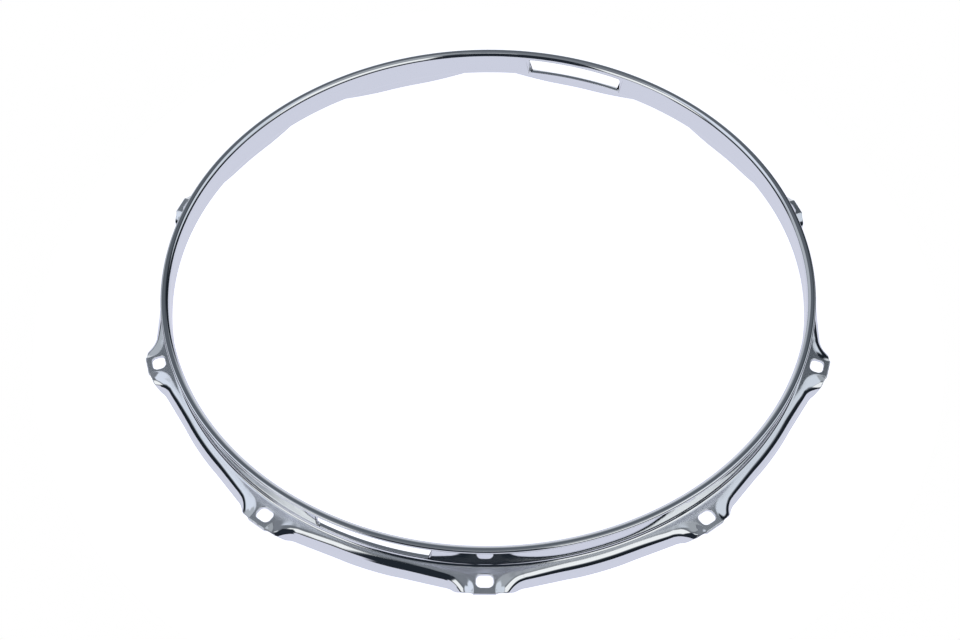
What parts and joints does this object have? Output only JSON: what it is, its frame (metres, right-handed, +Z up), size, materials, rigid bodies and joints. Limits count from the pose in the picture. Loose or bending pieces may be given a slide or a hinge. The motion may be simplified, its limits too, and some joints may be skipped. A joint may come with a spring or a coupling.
{
  "type": "drum hoop",
  "caption": "Chromed, pressed steel snare-side drum hoop: an out-curled rim on an upright wall with snare gates, above a flange with pierced ears and turned-down skirts.",
  "frame": {"origin": "centre of the ring, on the plane of the skirts' lowest edges", "axes": "+Z up towards the playing rim, X through the middles of two opposite ears, Y through the middles of the two snare gates"},
  "size_m": [0.3944, 0.3794, 0.0276],
  "materials": {
    "chrome_plate": "bright nickel-chrome plate over polished steel"
  },
  "bodies": {
    "root": {"stick_lip": "chrome_plate", "collar_left": "chrome_plate", "collar_right": "chrome_plate", "foot_bend": "chrome_plate", "ear_01": "chrome_plate", "ear_02": "chrome_plate", "ear_03": "chrome_plate", "ear_04": "chrome_plate", "ear_05": "chrome_plate", "ear_06": "chrome_plate", "ear_07": "chrome_plate", "ear_08": "chrome_plate", "ear_09": "chrome_plate", "ear_10": "chrome_plate", "skirt_01": "chrome_plate", "skirt_02": "chrome_plate", "skirt_03": "chrome_plate", "skirt_04": "chrome_plate", "skirt_05": "chrome_plate", "skirt_06": "chrome_plate", "skirt_07": "chrome_plate", "skirt_08": "chrome_plate", "skirt_09": "chrome_plate", "skirt_10": "chrome_plate"}
  },
  "joints": []
}
